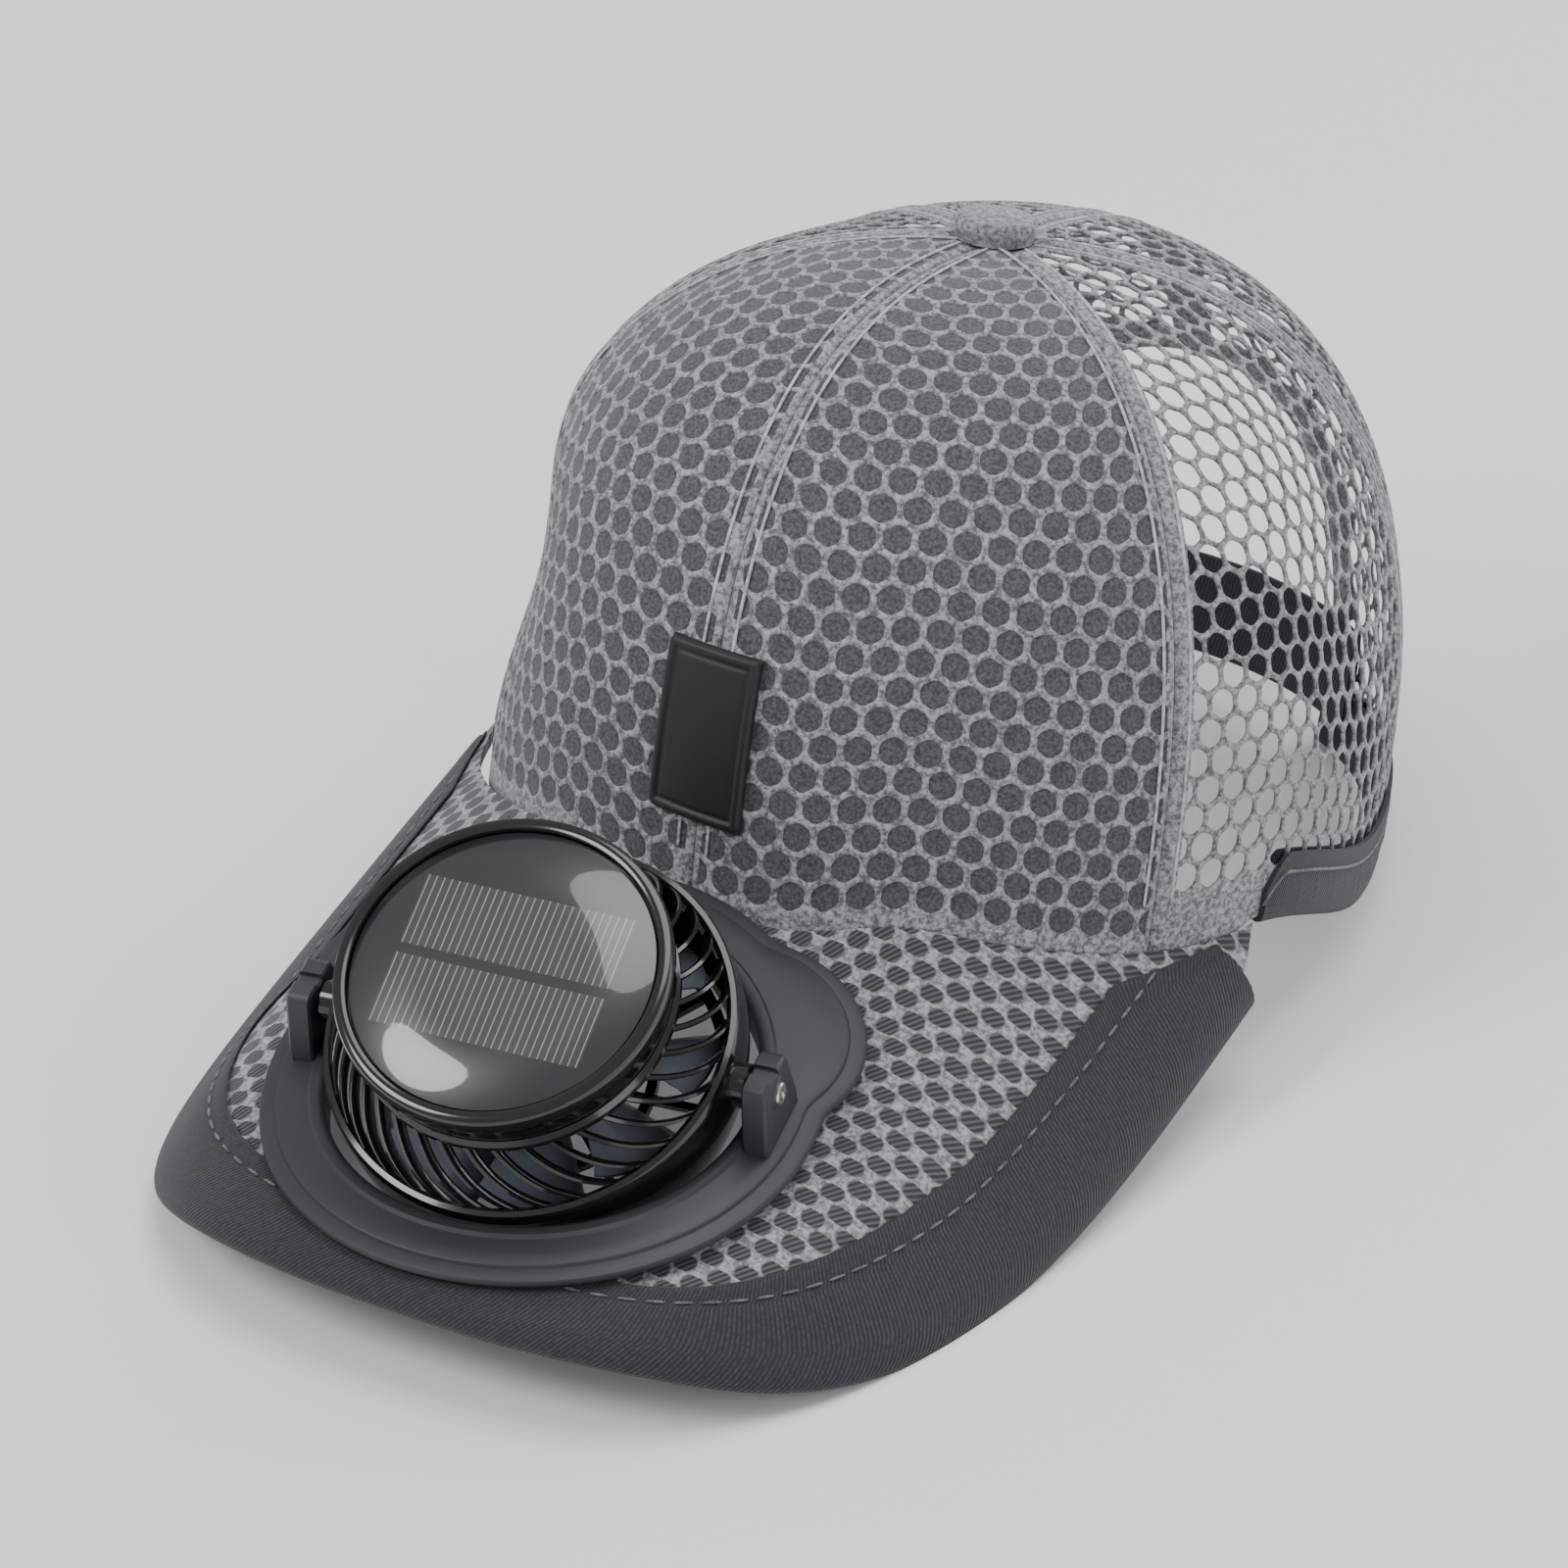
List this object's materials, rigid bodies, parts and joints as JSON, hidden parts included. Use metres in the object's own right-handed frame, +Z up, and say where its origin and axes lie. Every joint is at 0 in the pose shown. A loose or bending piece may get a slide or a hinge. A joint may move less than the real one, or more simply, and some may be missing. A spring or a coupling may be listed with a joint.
{
  "type": "solar fan hat",
  "caption": "Six-panel mesh baseball cap with a curved peak carrying a round tilting fan, louvred housing and a solar-cell disc on top, standing on its rim.",
  "frame": {"origin": "on the floor under the middle of the whole cap's length, on the plane between its left and right halves", "axes": "+X to the wearer's left, +Y to the back of the cap, -Y out over the peak, +Z up, with the cap standing on its peak's front corners and its rear rim"},
  "size_m": [0.1682, 0.2922, 0.1313],
  "materials": {
    "front_cloth": "heather grey honeycomb knit",
    "net_cloth": "open grey hexagonal net",
    "peak_cloth": "heather grey with rows of dark dots",
    "dark_tape": "dark woven tape, stitched",
    "dark_patch": "black grained, embossed border",
    "matte_plastic": "dark satin moulding",
    "gloss_plastic": "polished black",
    "blade_plastic": "smoky bluish grey",
    "solar_cells": "dark cells under a clear resin coat, with fine pale lines",
    "screw_steel": "bright"
  },
  "bodies": {
    "hat": {"front_panel_left": "front_cloth", "front_panel_right": "front_cloth", "side_panel_left": "net_cloth", "side_panel_right": "net_cloth", "back_panel_left": "net_cloth", "back_panel_right": "net_cloth", "crown_button": "front_cloth", "peak": "peak_cloth", "peak_binding": "dark_tape", "rim_binding_left": "dark_tape", "rim_binding_right": "dark_tape", "back_strap": "dark_tape", "front_patch": "dark_patch", "fan_plate": "matte_plastic", "pivot_screw_left": "screw_steel", "pivot_screw_right": "screw_steel"},
    "fan": {"fan_housing": "gloss_plastic", "fan_guard": "gloss_plastic", "solar_head": "gloss_plastic", "solar_panel": "solar_cells"},
    "impeller": {"impeller": "blade_plastic"}
  },
  "joints": [
    {"name": "fan_tilt", "type": "hinge", "parent": "hat", "child": "fan", "pos_m": [0.00022, -0.09652, 0.03991], "axis": [0.9867, 0.1622, -0.0046], "range_deg": [-43.5, 10.5]},
    {"name": "impeller_spin", "type": "hinge", "parent": "fan", "child": "impeller", "pos_m": [0.00022, -0.09652, 0.03991], "axis": [0.0862, -0.5, 0.8617], "continuous": true}
  ]
}
